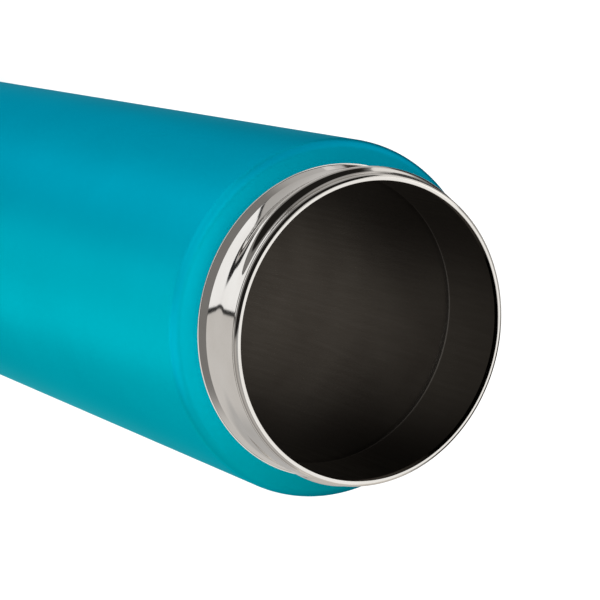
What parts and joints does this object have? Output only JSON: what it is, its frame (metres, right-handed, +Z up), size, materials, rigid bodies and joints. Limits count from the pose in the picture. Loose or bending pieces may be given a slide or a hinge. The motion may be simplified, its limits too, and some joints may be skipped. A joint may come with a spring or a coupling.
{
  "type": "insulated water bottle",
  "caption": "Wide-mouth vacuum-insulated steel bottle, open, with a satin teal body, a flat shoulder, a polished neck with a rolled lid thread and a dark inner liner.",
  "frame": {"origin": "centre of the standing ring, on the floor under the bottle's axis", "axes": "+Z up the bottle's axis, out of the mouth; -Y towards the side that shows the start of the lid thread; +X to the right seen from there"},
  "size_m": [0.073, 0.073, 0.25],
  "materials": {
    "teal_coat": "satin powder coat",
    "polished_steel": "mirror polished stainless steel",
    "dark_liner": "dark satin lining",
    "copper_foil": "bright copper foil",
    "plain_steel": "plain pressed stainless steel",
    "sealing_glass": "dark solder glass",
    "getter_powder": "pressed grey powder",
    "brushed_base": "circular brushed stainless steel"
  },
  "bodies": {
    "root": {"outer_shell": "teal_coat", "threaded_neck": "polished_steel", "mouth_lip": "polished_steel", "inner_liner": "dark_liner", "liner_bottom": "dark_liner", "copper_foil_wrap": "copper_foil", "copper_foil_disc": "copper_foil", "vacuum_bottom": "plain_steel", "vacuum_seal_bead": "sealing_glass", "getter_clip": "plain_steel", "getter_pellet": "getter_powder", "base_cover": "brushed_base"}
  },
  "joints": []
}
